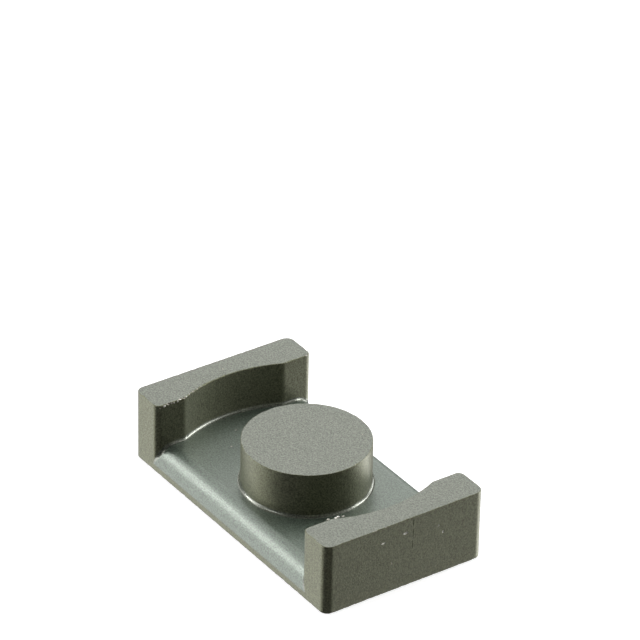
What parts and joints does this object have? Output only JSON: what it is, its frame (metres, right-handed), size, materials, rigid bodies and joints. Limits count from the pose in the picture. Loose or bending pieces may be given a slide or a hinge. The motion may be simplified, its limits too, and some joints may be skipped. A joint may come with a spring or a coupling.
{
  "type": "ferrite e core",
  "caption": "Half of a low, wide ferrite transformer core: a plate with a round centre post between outer legs that are hollowed to an arc around it, with ground mating faces.",
  "frame": {"origin": "centre of the flat back face", "axes": "+X along the length, from leg to leg; +Y across the width; +Z from the back face to the ground mating faces"},
  "size_m": [0.0108, 0.006, 0.0025],
  "materials": {
    "ferrite": "matte"
  },
  "bodies": {
    "root": {"core_half": "ferrite"}
  },
  "joints": []
}
